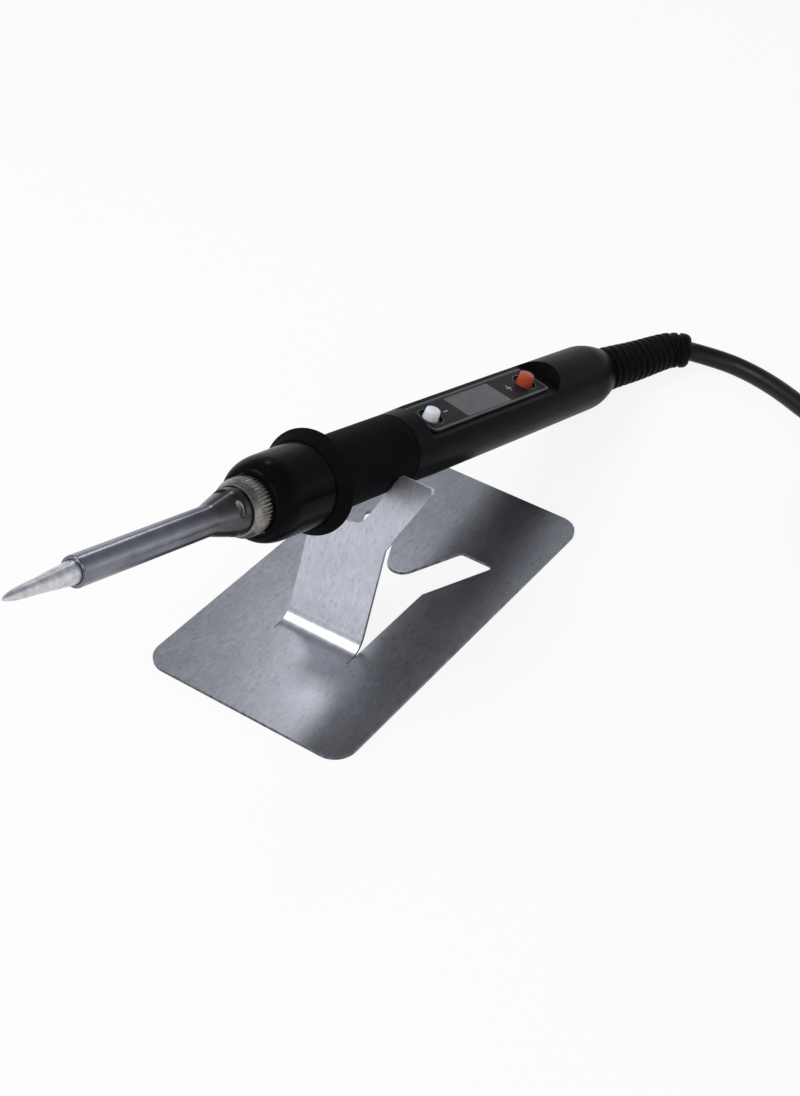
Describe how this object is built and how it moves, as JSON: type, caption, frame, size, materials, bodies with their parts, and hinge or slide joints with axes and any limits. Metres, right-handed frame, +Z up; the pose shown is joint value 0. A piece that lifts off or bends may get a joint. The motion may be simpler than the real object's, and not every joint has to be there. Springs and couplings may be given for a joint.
{
  "type": "soldering iron on a folded sheet stand",
  "caption": "Slim temperature-controlled soldering iron with display and two buttons, resting in a folded sheet-metal fork stand.",
  "frame": {"origin": "centre of the stand plate's underside, on the table", "axes": "+Z up; the iron lies along Y with its tip towards -Y and its cord towards +Y; +X is the iron's right side, where the panel leans"},
  "size_m": [0.1981, 0.284, 0.0888],
  "materials": {
    "galvanised_sheet": "mottled galvanised sheet steel, cut and folded",
    "bright_tip": "plated copper soldering tip",
    "sleeve_steel": "polished stainless tube, lightly heat stained",
    "nut_nickel": "nickel-plated brass, straight knurl",
    "ferrule_brass": "plated brass ferrule",
    "ceramic": "white alumina",
    "lead_insulation": "glass-braid sleeved wire",
    "gloss_black": "glossy black nylon",
    "grip_rubber": "matte black silicone rubber",
    "handle_black": "satin black ABS",
    "screw_steel": "zinc-plated steel screws",
    "panel_trim": "dark grey moulded panel frame",
    "panel_film": "dark printed film",
    "display_clear": "clear display window",
    "display_glass": "display module",
    "board_green": "green circuit board",
    "parts_black": "electronic parts",
    "white_plastic": "milky white button",
    "orange_plastic": "orange button",
    "cord_black": "black PVC sheath",
    "core_insulation": "coloured core insulation",
    "tie_black": "woven hook-and-loop strap",
    "plug_black": "black moulded plug",
    "pin_brass": "bright brass pins"
  },
  "bodies": {
    "stand": {"stand_plate": "galvanised_sheet", "cord_lead": "cord_black", "cord_coil": "cord_black", "cord_tail": "cord_black", "cord_tie": "tie_black", "plug_body": "plug_black", "plug_pins": "pin_brass", "plug_relief": "plug_black"},
    "iron": {"upper_shell": "handle_black", "lower_shell": "handle_black", "shell_screws": "screw_steel", "grip_sleeve": "grip_rubber", "front_collar": "gloss_black", "ferrule": "ferrule_brass", "heater_bush": "ceramic", "ceramic_heater": "ceramic", "heater_leads": "lead_insulation", "panel_bezel": "panel_trim", "panel_overlay": "panel_film", "lcd_window": "display_clear", "lcd_module": "display_glass", "circuit_board": "board_green", "board_parts": "parts_black", "tact_switches": "parts_black", "strain_relief": "grip_rubber", "cord_clamp": "handle_black", "clamp_screws": "screw_steel", "cord_sheath_end": "cord_black", "cord_cores": "core_insulation"},
    "barrel": {"tip_sleeve": "sleeve_steel", "soldering_tip": "bright_tip"},
    "nut": {"sleeve_nut": "nut_nickel"},
    "minus_key": {"minus_button": "white_plastic"},
    "plus_key": {"plus_button": "orange_plastic"}
  },
  "joints": [
    {"name": "iron_lift", "type": "slide", "parent": "stand", "child": "iron", "axis": [0, 0, 1], "range_m": [0, 0.06]},
    {"name": "barrel_slide", "type": "slide", "parent": "iron", "child": "barrel", "axis": [0, -0.95, 0.3124], "range_m": [0, 0.00625]},
    {"name": "nut_turn", "type": "hinge", "parent": "barrel", "child": "nut", "pos_m": [0, -0.05173, 0.06347], "axis": [0, 0.95, -0.3124], "range_deg": [0, 1800.02]},
    {"name": "minus_press", "type": "slide", "parent": "iron", "child": "minus_key", "axis": [-0.1736, -0.3076, -0.9355], "range_m": [0, 0.0005], "stiffness_N_per_m": 400, "springref_m": -0.0005},
    {"name": "plus_press", "type": "slide", "parent": "iron", "child": "plus_key", "axis": [-0.1736, -0.3076, -0.9355], "range_m": [0, 0.0005], "stiffness_N_per_m": 400, "springref_m": -0.0005}
  ],
  "couplings": [
    {"joint": "nut_turn", "follows": "barrel_slide", "rad_per_m": 5026.5}
  ]
}
